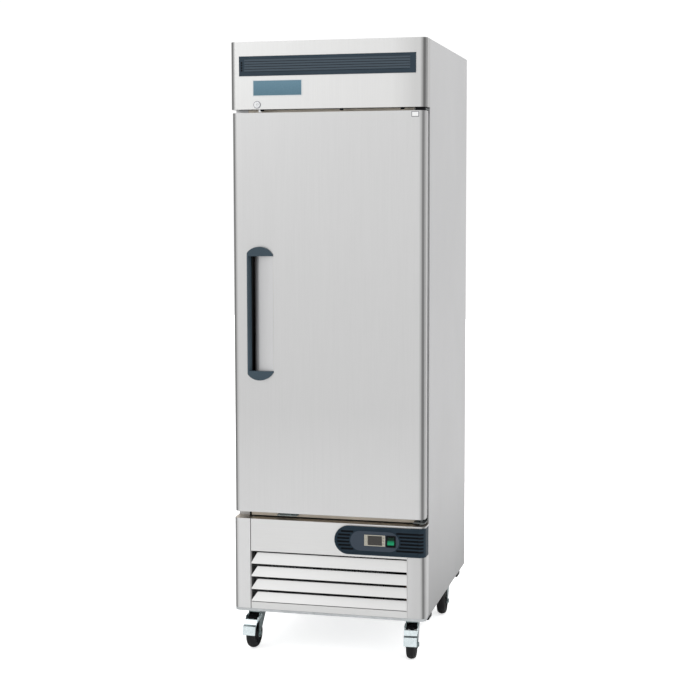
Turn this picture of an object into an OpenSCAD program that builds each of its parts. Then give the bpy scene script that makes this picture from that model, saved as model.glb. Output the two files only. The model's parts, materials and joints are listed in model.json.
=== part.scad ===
// One-section reach-in refrigerator on casters: insulated cabinet, hinged solid door, bottom machine bay.
// Units are millimetres, +Z is up, the door faces -Y and the floor is z = 0.

/* [Cabinet] */
// Width over the side panels
body_w = 680; // [600:5:760]
// Depth from the door face to the rear panel
body_d = 830; // [740:5:900]
// Height from the floor to the top panel
body_h = 2110; // [1900:5:2150]
// Sheet thickness of the outer panels
sheet_t = 1.2; // [0.8:0.1:2]
// Depth of the box front frame behind the door face
frame_d = 65; // [60:1:75]
// Outside radius of the vertical front corners
corner_r = 21; // [12:1:28]
// Height of the deck between the box and the machine bay
deck_z = 470; // [440:2:490]
// Height of the base pan underside
base_z = 144; // [140:1:150]

/* [Insulated box] */
// Half of the clear inside width
in_hw = 280; // [250:2:290]
// Height of the inside floor
in_z0 = 530; // [520:2:560]
// Height of the inside ceiling
in_z1 = 2040; // [1990:2:2050]
// Depth of the inside rear wall behind the door face
in_d1 = 769; // [700:2:775]
// Height of the top edge of the door opening
open_z1 = 1845; // [1820:1:1850]
// Gap between foam and sheet
foam_gap = 0.4; // [0.2:0.1:1]

/* [Door] */
// Door width
door_w = 673.2; // [640:0.2:676]
// Height of the door bottom edge
door_z0 = 496; // [486:1:504]
// Height of the door top edge
door_z1 = 1871; // [1860:1:1874]
// Depth of the door back edge behind its face
door_t = 48.5; // [44:0.5:52]
// Hinge pin position across the cabinet
hinge_x = 320; // [316:1:324]
// Hinge pin depth behind the door face
hinge_d = 30; // [24:1:34]
// Hinge pin radius
hinge_r = 5; // [4:0.5:6]
// Outside half width of the gasket ring
gasket_hw = 316; // [308:1:318]

/* [Handle] */
// Left edge of the handle
handle_x0 = -284; // [-300:1:-260]
// Right edge of the handle scoop
handle_x1 = -191; // [-210:1:-180]
// Inner edge of the bottom cap
handle_z0 = 990; // [960:1:1020]
// Inner edge of the top cap
handle_z1 = 1385; // [1340:1:1420]
// How far the bar stands out of the door face
handle_proud = 18; // [12:1:24]
// Width of the bar at the door face
bar_w = 13; // [10:1:16]
// Depth of the scoop behind the door face
scoop_d = 34; // [26:1:36]

/* [Fascia and lock] */
// Height of the fascia bottom edge
fascia_z0 = 1882.5; // [1878:0.5:1890]
// Vent grille left edge
vent_x0 = -307; // [-315:1:-295]
// Vent grille right edge
vent_x1 = 304.7; // [295:0.1:315]
// Vent grille bottom edge
vent_z0 = 1994.5; // [1985:0.5:2005]
// Vent grille top edge
vent_z1 = 2061; // [2050:0.5:2070]
// Badge plate left edge
badge_x0 = -258.8; // [-270:0.2:-250]
// Badge plate right edge
badge_x1 = -85.6; // [-95:0.2:-75]
// Badge plate bottom edge
badge_z0 = 1926.5; // [1920:0.5:1935]
// Badge plate top edge
badge_z1 = 1980.5; // [1975:0.5:1985]
// Lock centre across the fascia
lock_x = -244; // [-250:1:-230]
// Lock centre height
lock_z = 1898; // [1896:0.5:1902]

/* [Lower front] */
// Height of the lower front top edge
lower_z1 = 472; // [460:1:480]
// Height of the post bottom edge
post_z0 = 153.5; // [150:0.5:160]
// Right edge of the left post
post_x0 = -280; // [-290:1:-270]
// Left edge of the right post
post_x1 = 278; // [270:1:290]
// Height of the first louvre line
louver_z1 = 358; // [350:1:366]
// Spacing of the louvres
louver_pitch = 45.25; // [42:0.25:48]
// Number of louvres
louver_n = 4; // [3:1:5]
// How far a blade's upper edge sits back
louver_d = 14; // [10:1:30]

/* [Control housing] */
// Left end of the control housing
ctl_x0 = 24; // [10:1:40]
// Bottom of the control housing
ctl_z0 = 366.5; // [362:0.5:372]
// Top of the control housing
ctl_z1 = 465; // [458:0.5:470]
// How far the housing stands out of the panel
ctl_proud = 7; // [4:0.5:10]
// Depth to which the housing wraps the corner
ctl_wrap = 58; // [50:1:62]

/* [Casters] */
// Caster wheel radius
wheel_r = 50; // [45:1:52]
// Caster tread width
wheel_w = 32; // [28:1:36]
// Offset of the wheel from its swivel axis
wheel_off = 38; // [30:1:42]
// Swivel axis distance from the cabinet middle
king_x = 281; // [260:1:290]
// Front swivel axis depth
king_d0 = 88; // [80:1:100]
// Rear swivel axis depth
king_d1 = 658; // [640:1:740]

/* [Inside] */
// Height of the lowest shelf
shelf_z0 = 830; // [700:5:900]
// Spacing of the shelves
shelf_gap = 320; // [250:5:340]
// Half width of a shelf
shelf_hw = 266; // [250:1:268]
// Shelf frame rod radius
shelf_rod = 4; // [3:0.5:5]

/* [Hidden] */
e = 0.05;
hw = body_w / 2;
y_front = (handle_proud - body_d) / 2;
y_back = y_front + body_d;
hx = body_w / 2 - sheet_t;
dhw = door_w / 2;
lip = 15;
fl_x = in_hw + lip + 0.4;
shelf_d0 = 128;
shelf_d1 = 748;
shelf_n = 3;
pil_d = [150, 712];
casters = [[-king_x, king_d0, -3], [king_x, king_d0, 5], [-king_x - 7, king_d1, -8],
    [king_x + 7, king_d1, 2]];
ctl_h = ctl_z1 - ctl_z0;
ctl_r = ctl_h / 2;
ctl_cz = (ctl_z0 + ctl_z1) / 2;
oval_x0 = 80;
oval_x1 = 251;
oval_r = 34.5;
key_z = [409, 419, 429];
lock_crank = 8;
lock_drop = lock_crank * sqrt(2);
fan_x = -40;
fan_z = 255;
coil_x0 = -228;
coil_x1 = 170;
coil_z0 = 168;
coil_z1 = 344;
evap_fan_d = 290;
tube_x = -225;
tube_d = 799;

// Depth behind the door face to a Y position
function yd(d) = y_front + d;

// Box from x, depth and z limits
module bx(x0, x1, d0, d1, z0, z1) {
    translate([x0, yd(d0), z0])
        cube([x1 - x0, d1 - d0, z1 - z0]);
}

// Rod along X, Y or Z
module rod_x(r, x0, x1, d, z, n = 48) {
    translate([x0, yd(d), z])
        rotate([0, 90, 0])
            cylinder(r = r, h = x1 - x0, $fn = n);
}

module rod_y(r, x, d0, d1, z, n = 48) {
    translate([x, yd(d0), z])
        rotate([-90, 0, 0])
            cylinder(r = r, h = d1 - d0, $fn = n);
}

module rod_z(r, x, d, z0, z1, n = 48) {
    translate([x, yd(d), z0])
        cylinder(r = r, h = z1 - z0, $fn = n);
}

// Outline seen from above: flat front with two rounded corners
module front_outline(half, d0, d1, r) {
    translate([-half + r, yd(d0)])
        square([2 * (half - r), r]);
    translate([-half, yd(d0 + r)])
        square([2 * half, d1 - d0 - r]);
    for (s = [-1, 1])
        translate([s * (half - r), yd(d0 + r)])
            circle(r = r, $fn = 96);
}

module front_prism(half, d0, d1, r, z0, z1) {
    translate([0, 0, z0])
        linear_extrude(height = z1 - z0)
            front_outline(half, d0, d1, r);
}

// ---------------------------------------------------------------- cabinet skins
module side_panels() {
    color("#c3c4c3")
    for (s = [0, 1])
        mirror([s, 0, 0])
            union() {
                bx(hx, hw, frame_d, body_d - sheet_t, base_z + 1.5, body_h - sheet_t);
                bx(fl_x, hx + e, frame_d, frame_d + sheet_t, base_z + 13, body_h - sheet_t);
                bx(hx - 20, hx + e, body_d - 2 * sheet_t, body_d - sheet_t, base_z + 10, body_h - sheet_t);
            }
}

module front_frame() {
    color("#b9bab8")
    union() {
        bx(-fl_x + 0.4, fl_x - 0.4, frame_d, frame_d + sheet_t, open_z1 + lip + 0.4, body_h - 1.6);
        bx(-fl_x + 0.4, fl_x - 0.4, frame_d, frame_d + sheet_t, deck_z + 0.4, in_z0 - lip - 0.4);
        bx(-fl_x + 0.4, fl_x - 0.4, frame_d, frame_d + 30, deck_z + 0.4, deck_z + 0.4 + sheet_t);
    }
}

module back_deck_sheet() {
    color("#a9acad")
    difference() {
        union() {
            bx(-hw, hw, body_d - sheet_t, body_d, deck_z, body_h - sheet_t);
            bx(-hx + 0.4, hx - 0.4, frame_d + 32, body_d - sheet_t + e, deck_z - sheet_t, deck_z);
        }
        for (i = [0, 1])
            rod_z(7, tube_x + 24 * i, tube_d, deck_z - 5, deck_z + 5);
        bx(-hx - 1, -hx + 21, body_d - 2 * sheet_t - 0.2, body_d - sheet_t, deck_z - 5, deck_z + 5);
        bx(hx - 21, hx + 1, body_d - 2 * sheet_t - 0.2, body_d - sheet_t, deck_z - 5, deck_z + 5);
    }
}

module top_panel() {
    color("#c3c4c3")
    union() {
        bx(-hw, hw, frame_d, body_d, body_h - sheet_t, body_h);
        bx(-hw + 30, hw - 30, frame_d + 8, frame_d + 8 + sheet_t, body_h - sheet_t - 0.3,
            body_h - sheet_t + e);
    }
}

module cabinet_foam() {
    color("#d8c98a")
    union() {
        for (s = [0, 1])
            mirror([s, 0, 0])
                bx(in_hw + 2, hx - foam_gap, frame_d + 1.6, body_d - 2.8, deck_z + 2, body_h - 1.8);
        bx(-in_hw - 1.6, in_hw + 1.6, frame_d + 1.6, in_d1 + 1.2, deck_z + 2, in_z0 - 1.6);
        bx(-in_hw - 1.6, in_hw + 1.6, frame_d + 1.6, body_d - 2.8, in_z1 + 1.6, body_h - 1.8);
        difference() {
            bx(-in_hw - 1.6, in_hw + 1.6, in_d1 + 1.6, body_d - 2.8, deck_z + 2, in_z1 + 1.2);
            bx(tube_x - 10, tube_x + 34, tube_d - 10, tube_d + 10, deck_z, 1960);
            bx(tube_x - 10, tube_x + 34, in_d1, tube_d + 10, 1920, 1960);
        }
        bx(-in_hw - 1.6, in_hw + 1.6, frame_d + 1.6, 120, open_z1 + 2, in_z1 + 1.2);
    }
}

module inner_liner() {
    color("#cfd1d1")
    difference() {
        bx(-in_hw - 1.2, in_hw + 1.2, 92.4, in_d1 + 1.2, in_z0 - 1.2, in_z1 + 1.2);
        bx(-in_hw, in_hw, 121.6, in_d1, in_z0, in_z1);
        bx(-in_hw, in_hw, 90, 130, in_z0, open_z1);
        bx(-in_hw - 5, in_hw + 5, 90, 120.4, open_z1 + 1.2, in_z1 + 5);
        for (i = [0, 1])
            rod_y(7, tube_x + 24 * i, in_d1 - 5, in_d1 + 5, 1940);
    }
}

module breaker_frame() {
    color("#cdbfae")
    union() {
        difference() {
            bx(-in_hw - lip, in_hw + lip, frame_d - 0.4, frame_d + 1.2, in_z0 - lip, open_z1 + lip);
            bx(-in_hw, in_hw, frame_d - 2, frame_d + 3, in_z0, open_z1);
        }
        difference() {
            bx(-in_hw - 1.6, in_hw + 1.6, frame_d, 92, in_z0 - 1.2, open_z1 + 1.6);
            bx(-in_hw, in_hw, frame_d - 2, 94, in_z0, open_z1);
        }
    }
}

// ---------------------------------------------------------------- fascia
module top_fascia() {
    color("#d9dada")
    difference() {
        front_prism(hw, 0, frame_d - 0.6, corner_r, fascia_z0, body_h);
        front_prism(hw - sheet_t, sheet_t, frame_d + 5, corner_r - sheet_t, fascia_z0 + sheet_t,
            body_h - sheet_t);
        bx(-hw - 1, hw + 1, 50, frame_d + 5, fascia_z0 - 1, fascia_z0 + sheet_t + 0.01);
        bx(vent_x0 + 3, vent_x1 - 3, -1, 3, vent_z0 + 3, vent_z1 - 3);
        rod_y(9.6, lock_x, -1, 3, lock_z);
        bx(lock_x - 6, lock_x + 6, 30, 38, fascia_z0 - 1, fascia_z0 + 3);
    }
}

module vent_grille() {
    rib_n = 5;
    rib_h = 7;
    field_z0 = vent_z0 + 14;
    step = (vent_z1 - 10 - field_z0) / rib_n;
    color("#414c55")
    union() {
        difference() {
            bx(vent_x0, vent_x1, -2.5, -0.1, vent_z0, vent_z1);
            bx(vent_x0 + 20, vent_x1 - 20, -3, -1.2, field_z0, vent_z1 - 10);
            for (i = [0 : rib_n - 2])
                bx(vent_x0 + 7, vent_x0 + 12, -4, -0.9, field_z0 + 2 + i * step,
                    field_z0 + 2 + i * step + 6.4);
        }
        for (i = [0 : rib_n - 1])
            bx(vent_x0 + 19, vent_x1 - 19, -3.2, -0.6, field_z0 + i * step + 1,
                field_z0 + i * step + 1 + rib_h);
        difference() {
            bx(vent_x0 + 3.4, vent_x1 - 3.4, -0.2, 14, vent_z0 + 3.4, vent_z1 - 3.4);
            bx(vent_x0 + 5.4, vent_x1 - 5.4, -0.1, 12, vent_z0 + 5.4, vent_z1 - 5.4);
        }
    }
}

module badge_plate() {
    color("#5f8297")
    difference() {
        bx(badge_x0, badge_x1, -2, -0.1, badge_z0, badge_z1);
        bx(badge_x0 + 2.5, badge_x1 - 2.5, -3, -1.5, badge_z0 + 2.5, badge_z1 - 2.5);
    }
}

module lock_barrel() {
    color("#c8cacc")
    difference() {
        union() {
            rod_y(12.5, lock_x, -2.6, -0.1, lock_z);
            rod_y(9.3, lock_x, -0.2, 27, lock_z);
            rod_y(12.5, lock_x, 1.6, 5, lock_z);
        }
        rod_y(6.05, lock_x, -5, 30, lock_z);
    }
}

module lock_plug() {
    color("#aeb2b6")
    difference() {
        union() {
            rod_y(6, lock_x, -2.8, 29, lock_z);
            rod_y(11, lock_x, 28, 30.4, lock_z);
            rod_y(2, lock_x + lock_drop / 2, 30, 37, lock_z + lock_drop / 2);
        }
        bx(lock_x - 0.7, lock_x + 0.7, -4, 6, lock_z - 3.6, lock_z + 3.6);
    }
}

module lock_bolt() {
    sz = lock_z + lock_drop / 2;
    color("#8b9096")
    difference() {
        union() {
            bx(lock_x - 5, lock_x + 5, 31.4, 36.4, door_z1 + 3, lock_z + 14);
            bx(lock_x - 5, lock_x + 13.5, 31.4, 36.4, sz - 5, lock_z + 14);
        }
        bx(lock_x + lock_drop / 2 - 2.5, lock_x + lock_crank + 2.5, 30, 38, sz - 2.45, sz + 2.45);
    }
}

module hinge_brackets() {
    color("#8f9692")
    union() {
        bx(296, 336, 14, 64.4, 1874, 1878);
        bx(296, 336, 60.4, 64.4, 1874, 1926);
        rod_z(hinge_r, hinge_x, hinge_d, door_z1 - 14, 1875);
        bx(296, 336, 14, 64.4, 480, 484);
        bx(296, 336, 60.4, 64.4, 474, 500);
        rod_z(hinge_r, hinge_x, hinge_d, 483, door_z0 + 13);
        rod_z(9, hinge_x, hinge_d, 474, 481);
    }
}

// ---------------------------------------------------------------- base and lower front
module base_outline(k) {
    front_outline(hw - 0.6 - k, 0.8 + k, frame_d - 0.8, corner_r - 1 - k);
    translate([-hx + 0.8 + k, yd(40)])
        square([2 * (hx - 0.8 - k), body_d - 4 - k - 40]);
}

module base_frame() {
    color("#aeb0b0")
    difference() {
        union() {
            translate([0, 0, base_z])
                linear_extrude(height = 2)
                    base_outline(0);
            translate([0, 0, base_z + 1.9])
                linear_extrude(height = 7)
                    difference() {
                        base_outline(0);
                        base_outline(2);
                    }
            for (s = [-1, 1])
                bx(s * 332 - 2, s * 332 + 2, 70, body_d - 12, base_z + 1.9, base_z + 26);
        }
        for (c = casters)
            for (i = [-1, 1])
                for (j = [-1, 1])
                    rod_z(4.3, c[0] + i * 34, c[1] + j * 24, base_z - 2, base_z + 4);
    }
}

module post_profile(x_in) {
    difference() {
        front_outline(hw, 0, frame_d - 0.6, corner_r);
        front_outline(hw - sheet_t, sheet_t, frame_d + 10, corner_r - sheet_t);
        translate([-hw - 5, yd(-5)])
            square([hw + 5 + x_in, frame_d + 20]);
    }
    translate([x_in, yd(0)])
        square([sheet_t, 30]);
    translate([hx - 26, yd(frame_d - 0.6 - sheet_t)])
        square([26 + 0.1, sheet_t]);
}

module lower_posts() {
    color("#cfd0cf")
    difference() {
        union() {
            translate([0, 0, post_z0])
                linear_extrude(height = lower_z1 - post_z0)
                    post_profile(post_x1);
            mirror([1, 0, 0])
                translate([0, 0, post_z0])
                    linear_extrude(height = lower_z1 - post_z0)
                        post_profile(-post_x0);
            difference() {
                front_prism(hw - 0.5, 0.5, frame_d - 1, corner_r - 0.5, lower_z1 - sheet_t, lower_z1);
                bx(post_x0 + 0.1, post_x1 - 0.1, -1, frame_d + 5, 400, 500);
            }
        }
        bx(post_x1 + 12, hw + 5, -2, ctl_wrap + 0.6, ctl_z0 - 0.6, ctl_z1 + 0.6);
    }
}

module louver_blade(z_top, z_bot) {
    xa = post_x0 + 2.8;
    xb = post_x1 - 1;
    run = sqrt(pow(z_top - z_bot, 2) + pow(louver_d, 2));
    lean = atan(louver_d / (z_top - z_bot));
    translate([0, yd(0.05), z_bot])
        rotate([90 - lean, 0, 0])
            translate([0, 0, -1.2])
                linear_extrude(height = 1.2)
                    polygon([[xa, 0], [xb, 0], [xb - 4, run], [xa + 19, run], [xa, 3]]);
}

module louver_panel() {
    xa = post_x0 + 2.4;
    xb = post_x1 - 0.7;
    z_strip = louver_z1 - louver_pitch * louver_n;
    color("#d3d4d3")
    difference() {
        union() {
            bx(xa, xb, 0, sheet_t, louver_z1, lower_z1 - 0.3);
            bx(xa, xb, 0, sheet_t, 153.6, z_strip);
            bx(xa, xb, 0, 60, lower_z1 - 0.3 - sheet_t, lower_z1 - 0.3);
            bx(xa, xb, 0, louver_d + 4, louver_z1, louver_z1 + sheet_t);
            for (x = [xa, xb - sheet_t])
                bx(x, x + sheet_t, 0, louver_d + 6, 153.6, lower_z1 - 0.3);
            for (i = [0 : louver_n - 1])
                louver_blade(louver_z1 - i * louver_pitch - (i == 0 ? 8 : 12),
                    louver_z1 - (i + 1) * louver_pitch + (i == louver_n - 1 ? 2.4 : 0));
        }
        bx(112, xb + 5, -1, louver_d + 8, ctl_z0 + 5.5, ctl_z1 - 5);
    }
}

// ---------------------------------------------------------------- controls
module ctl_face(k) {
    translate([ctl_x0 + ctl_r, ctl_cz])
        circle(r = ctl_r - k, $fn = 96);
    translate([ctl_x0 + ctl_r, ctl_z0 + k])
        square([hw - k - ctl_x0 - ctl_r + (k > 0 ? -16 : 0), ctl_h - 2 * k]);
}

module face_prism(d0, d1) {
    translate([0, yd(d1), 0])
        rotate([90, 0, 0])
            linear_extrude(height = d1 - d0)
                children();
}

module oval_face() {
    translate([oval_x0 + oval_r, ctl_cz - oval_r])
        square([oval_x1 - oval_x0 - 2 * oval_r, 2 * oval_r]);
    for (x = [oval_x0 + oval_r, oval_x1 - oval_r])
        translate([x, ctl_cz])
            circle(r = oval_r, $fn = 96);
}

module ctl_slots() {
    n = 6;
    for (i = [0 : n - 1]) {
        dz = (i - (n - 1) / 2) * 12;
        reach = sqrt(pow(ctl_r - 9, 2) - pow(dz, 2));
        bulge = oval_r + 4 - sqrt(pow(oval_r + 4, 2) - pow(dz, 2));
        xl = ctl_x0 + ctl_r - reach;
        bx(xl, oval_x0 - 4 + bulge, -12, -1.8, ctl_cz + dz - 3.4, ctl_cz + dz + 3.4);
        bx(oval_x1 + 4 - bulge, 316, -12, -1.8, ctl_cz + dz - 3.4, ctl_cz + dz + 3.4);
    }
}

module control_housing() {
    x_cut = post_x1 + 12.4;
    color("#33404b")
    difference() {
        intersection() {
            face_prism(-ctl_proud - 1, ctl_wrap)
                ctl_face(0);
            difference() {
                front_prism(hw, -ctl_proud, ctl_wrap, corner_r + 3, ctl_z0, ctl_z1);
                bx(-hw, x_cut, -0.2, ctl_wrap + 5, 300, 500);
                front_prism(hw - 3, -1, ctl_wrap + 9, corner_r, ctl_z0 + 3, ctl_z1 - 3);
            }
        }
        face_prism(-ctl_proud - 1, -ctl_proud + 2)
            difference() {
                ctl_face(6);
                oval_face();
            }
        ctl_slots();
        bx(130.7, 201.6, -12, 5, 401.1, 436.9);
        bx(207.2, 237.8, -12, 5, 399.3, 436.7);
    }
}

module controller() {
    color("#c9cac4")
    difference() {
        union() {
            bx(129.6, 202.7, -ctl_proud - 2.2, -ctl_proud - 0.1, 400, 438);
            bx(131, 201.3, -ctl_proud - 0.2, 50, 401.4, 436.6);
        }
        bx(142.2, 191.6, -12, -ctl_proud - 0.6, 402.8, 435.4);
        for (z = key_z) {
            bx(131.9, 140.9, -12, -ctl_proud + 1.4, z - 4.3, z + 4.3);
            bx(192.6, 200, -12, -ctl_proud - 1.7, z - 3.6, z + 3.6);
        }
    }
}

module display_window() {
    color("#3b3d3c")
    bx(142.4, 191.4, -ctl_proud - 2, -ctl_proud - 0.7, 403, 435.2);
}

module key(i) {
    color("#b9bab3")
    bx(132.2, 140.6, -ctl_proud - 3, -ctl_proud + 0.4, key_z[i] - 4, key_z[i] + 4);
}

module key_1() { key(0); }
module key_2() { key(1); }
module key_3() { key(2); }

module switch_frame() {
    color("#15181a")
    difference() {
        union() {
            bx(206, 239, -ctl_proud - 2, -ctl_proud - 0.1, 398, 438);
            bx(207.6, 237.4, -ctl_proud - 0.2, 20, 399.7, 436.3);
        }
        bx(210.5, 234.5, -20, 8, 402.5, 433.5);
        rod_x(2.06, 208.4, 236.6, -2, 418);
    }
}

module rocker() {
    color("#1f9a5f")
    translate([211, yd(-2), 418])
        rotate([-7, 0, 0])
            rotate([90, 0, 90])
                union() {
                    linear_extrude(height = 23)
                        polygon([[-8.5, 13.4], [-6.6, 0], [-8.5, -13.4], [-3, -13.6], [5, -6], [5, 6], [-3,
                            13.6]]);
                    translate([0, 0, -2])
                        cylinder(r = 2, h = 27, $fn = 32);
                }
}

// ---------------------------------------------------------------- machine bay
module compressor() {
    cx = 150;
    cd = 560;
    color("#23272a")
    union() {
        translate([cx, yd(cd), 0])
            rotate_extrude($fn = 96)
                polygon([[0, 168], [66, 168], [76, 178], [78, 186], [78, 240], [74, 262], [60, 286], [38,
                    300],
                    [0, 304]]);
        bx(cx - 95, cx + 95, cd - 70, cd + 70, 160, 164);
        for (i = [-1, 1])
            for (j = [-1, 1])
                rod_z(11, cx + i * 82, cd + j * 56, 146.2, 160.1);
        bx(cx - 60, cx + 60, cd - 50, cd + 50, 163, 170);
        bx(cx - 112, cx - 70, cd - 30, cd + 30, 200, 262);
    }
}

module condenser_coil() {
    rows = 5;
    fins = 30;
    fin_step = (coil_x1 - coil_x0 - 30) / fins;
    color("#8d9499")
    union() {
        for (i = [0 : fins])
            bx(coil_x0 + 15 + i * fin_step, coil_x0 + 16 + i * fin_step, 40, 84, coil_z0, coil_z1);
        for (k = [0 : rows - 1])
            rod_x(5, coil_x0, coil_x1, 62, coil_z0 + 20 + k * 34, 24);
        for (x = [coil_x0, coil_x1 - 2])
            bx(x, x + 2, 34, 110, 146.2, coil_z1 + 8);
    }
}

module fan_shroud() {
    color("#3a3f43")
    difference() {
        union() {
            bx(coil_x0 - 3, coil_x1 + 3, 114, 116, 146.2, coil_z1 + 12);
            rod_y(92, fan_x, 115, 150, fan_z, 96);
            rod_y(30, fan_x, 176, 226, fan_z, 64);
            for (a = [45 : 90 : 315])
                translate([fan_x, yd(150), fan_z])
                    rotate([0, a, 0])
                        translate([20, 0, -4])
                            cube([70, 30, 8]);
            rod_y(3, fan_x, 130, 178, fan_z, 32);
        }
        difference() {
            rod_y(88, fan_x, 110, 170, fan_z, 96);
            for (a = [45 : 90 : 315])
                translate([fan_x, yd(172), fan_z])
                    rotate([0, a, 0])
                        translate([0, 0, -4])
                            cube([95, 12, 8]);
            rod_y(3, fan_x, 130, 178, fan_z, 32);
        }
    }
}

module blades(n, r0, r1, h, w) {
    for (i = [0 : n - 1])
        rotate([0, 0, i * 360 / n])
            translate([r0, 0, h / 2])
                rotate([28, 0, 0])
                    translate([0, -w / 2, -1])
                        cube([r1 - r0, w, 2]);
}

module condenser_fan() {
    color("#5b6064")
    translate([fan_x, yd(156), fan_z])
        rotate([90, 0, 0])
            difference() {
                union() {
                    cylinder(r = 24, h = 22, $fn = 64);
                    blades(5, 20, 82, 22, 34);
                }
                translate([0, 0, -1])
                    cylinder(r = 3.05, h = 40, $fn = 32);
            }
}

module condensate_pan() {
    color("#2c3033")
    difference() {
        bx(-230, 40, 600, 780, 146.2, 190);
        bx(-227, 37, 603, 777, 149.2, 200);
    }
}

module elbow(x, d, z, r) {
    translate([x, yd(d), z])
        sphere(r = r, $fn = 32);
}

module refrigerant_tubes() {
    r = 4;
    run_x = 262;
    color("#b4764a")
    union() {
        for (i = [0, 1]) {
            x = tube_x + 24 * i;
            z0 = 250 + 30 * i;
            rod_z(r, x, tube_d, z0, 1940, 24);
            elbow(x, tube_d, z0, r);
            elbow(x, tube_d, 1940, r);
            rod_y(r, x, 640, tube_d, 1940, 24);
            elbow(x, 640, 1940, r);
        }
        rod_x(r, tube_x, 50, tube_d, 250, 24);
        elbow(50, tube_d, 250, r);
        rod_y(r, 50, 600, tube_d, 250, 24);
        elbow(50, 600, 250, r);
        rod_x(r, 50, 84, 600, 250, 24);
        rod_x(r, tube_x + 24, run_x, tube_d, 280, 24);
        elbow(run_x, tube_d, 280, r);
        rod_y(r, run_x, 62, tube_d, 280, 24);
        elbow(run_x, 62, 280, r);
        rod_z(r, run_x, 62, 188, 280, 24);
        elbow(run_x, 62, 188, r);
        rod_x(r, coil_x1 + 0.3, run_x, 62, 188, 24);
    }
}

module rear_vent_cover() {
    color("#b3b6b7")
    difference() {
        union() {
            bx(-hw + 1.6, hw - 1.6, body_d - sheet_t, body_d, 156, deck_z - 1.6);
            rod_y(9, 250, body_d - 8, body_d, 200, 48);
        }
        for (i = [0 : 7])
            for (x = [-290, -90, 110])
                bx(x, x + 160, body_d - 4, body_d + 1, 232 + i * 24, 240 + i * 24);
        rod_y(5, 250, body_d - 10, body_d + 1, 200, 32);
        for (x = [-300, 0, 300])
            for (z = [170, 455])
                rod_y(2.6, x, body_d - 4, body_d + 1, z, 32);
    }
}

// ---------------------------------------------------------------- inside of the box
module evaporator_cover() {
    z0 = open_z1 + 4;
    color("#d5d6d6")
    union() {
        difference() {
            union() {
                bx(-in_hw + 2, in_hw - 2, 124, 660, z0, z0 + 1.5);
                bx(-in_hw + 2, in_hw - 2, 658.5, 660, z0, in_z1 - 1);
            }
            rod_z(92, 0, evap_fan_d, z0 - 5, z0 + 5, 96);
            for (x = [-250 : 50 : 200])
                bx(x + 8, x + 42, 650, 670, 1860, 1900);
            for (i = [0, 1])
                rod_y(6, tube_x + 24 * i, 650, 670, 1940);
        }
        for (r = [30, 50, 70, 90])
            translate([0, yd(evap_fan_d), z0 - 1])
                difference() {
                    cylinder(r = r + 1.5, h = 3, $fn = 96);
                    translate([0, 0, -1])
                        cylinder(r = r - 1.5, h = 5, $fn = 96);
                }
        for (a = [0 : 45 : 135])
            translate([0, yd(evap_fan_d), z0 - 0.5])
                rotate([0, 0, a])
                    translate([-95, -1.5, 0])
                        cube([190, 3, 2]);
        rod_z(26, 0, evap_fan_d, 1900, 1950, 64);
        rod_z(3, 0, evap_fan_d, 1860, 1905, 32);
        for (s = [-1, 1])
            bx(s * 60 - 5, s * 60 + 5, evap_fan_d - 5, evap_fan_d + 5, 1925, in_z1 - 1);
        bx(-65, 65, evap_fan_d - 5, evap_fan_d + 5, 1925, 1935);
    }
}

module evaporator_fan() {
    color("#454b50")
    translate([0, yd(evap_fan_d), 1866])
        difference() {
            union() {
                cylinder(r = 22, h = 20, $fn = 64);
                blades(5, 18, 84, 20, 30);
            }
            translate([0, 0, -1])
                cylinder(r = 3.05, h = 30, $fn = 32);
        }
}

module evaporator_coil() {
    fins = 26;
    color("#9aa1a5")
    union() {
        for (i = [0 : fins])
            bx(-220 + i * 16, -219 + i * 16, 470, 590, 1862, 2010);
        for (k = [0 : 3])
            for (d = [500, 560])
                rod_x(5, -238, 214, d, 1880 + k * 36, 24);
        for (x = [-240, 212])
            bx(x, x + 2, 462, 598, 1852, 2039);
    }
}

module lamp() {
    color("#f4f1e6")
    union() {
        bx(-210, 210, 136, 158, open_z1 - 2, open_z1 + 3.8);
        bx(-200, 200, 139, 155, open_z1 - 12, open_z1 - 1.9);
        for (s = [-1, 1])
            bx(s * 205 - 6, s * 205 + 6, 136, 158, open_z1 - 15, open_z1 - 1);
    }
}

module pilasters() {
    color("#b9bcbd")
    for (s = [0, 1])
        mirror([s, 0, 0])
            for (d = pil_d)
                difference() {
                    bx(in_hw - 8, in_hw - 0.2, d, d + 22, 560, 1815);
                    bx(in_hw - 6.8, in_hw + 1, d + 1.2, d + 20.8, 555, 1820);
                    for (z = [580 : 50 : 1790])
                        bx(in_hw - 10, in_hw - 5, d + 8, d + 14, z, z + 14);
                }
}

module shelf_clips() {
    color("#9a9fa2")
    for (s = [0, 1])
        mirror([s, 0, 0])
            for (d = pil_d)
                for (k = [0 : shelf_n - 1])
                    bx(in_hw - 24, in_hw - 8.2, d + 4, d + 18, shelf_z0 + k * shelf_gap - shelf_rod - 14.4,
                        shelf_z0 + k * shelf_gap - shelf_rod - 0.4);
}

module shelf(k) {
    z = shelf_z0 + k * shelf_gap;
    xo = shelf_hw - shelf_rod;
    wires = 15;
    color("#b8bec2")
    union() {
        for (s = [-1, 1])
            rod_y(shelf_rod, s * xo, shelf_d0, shelf_d1, z, 24);
        for (d = [shelf_d0 + 2, shelf_d1 - 2])
            rod_x(shelf_rod, -xo - 2, xo + 2, d, z + 0.3, 24);
        rod_x(3, -xo, xo, (shelf_d0 + shelf_d1) / 2, z - 0.9, 24);
        for (i = [1 : wires])
            rod_y(2, -xo + i * 2 * xo / (wires + 1), shelf_d0, shelf_d1, z + 3, 16);
    }
}

module shelf_1() { shelf(0); }
module shelf_2() { shelf(1); }
module shelf_3() { shelf(2); }

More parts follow.
